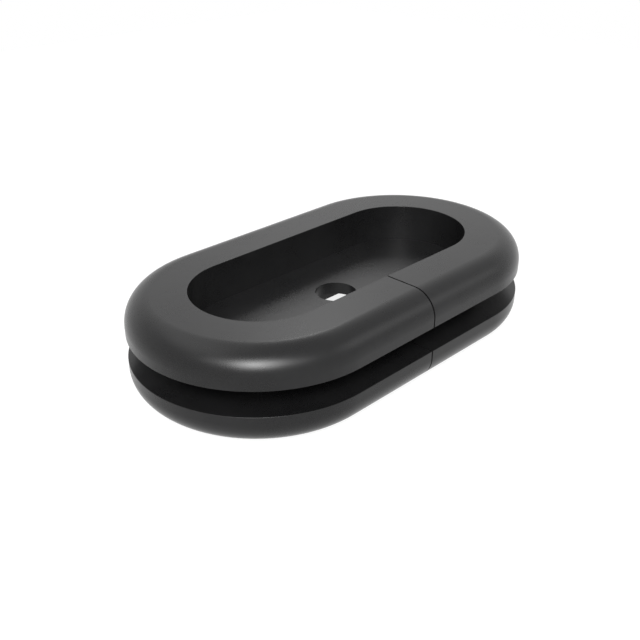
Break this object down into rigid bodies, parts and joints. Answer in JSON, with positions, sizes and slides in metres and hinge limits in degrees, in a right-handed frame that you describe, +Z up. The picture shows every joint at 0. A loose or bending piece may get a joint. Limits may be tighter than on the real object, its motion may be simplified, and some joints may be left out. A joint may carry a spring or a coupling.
{
  "type": "rubber grommet",
  "caption": "Oblong split rubber cable grommet: grooved waist for a panel edge, two rounded flanges, and a slit membrane with a round cable hole.",
  "frame": {"origin": "centre of the base at the bottom of the lower flange, straight below the middle of the cable hole", "axes": "+X along the grommet's long axis, +Z up through the panel towards the upper flange, and the slit is on the -Y side"},
  "size_m": [0.054, 0.03, 0.011],
  "materials": {
    "rubber": "satin moulded rubber, dark grey"
  },
  "bodies": {
    "root": {"grommet": "rubber"}
  },
  "joints": []
}
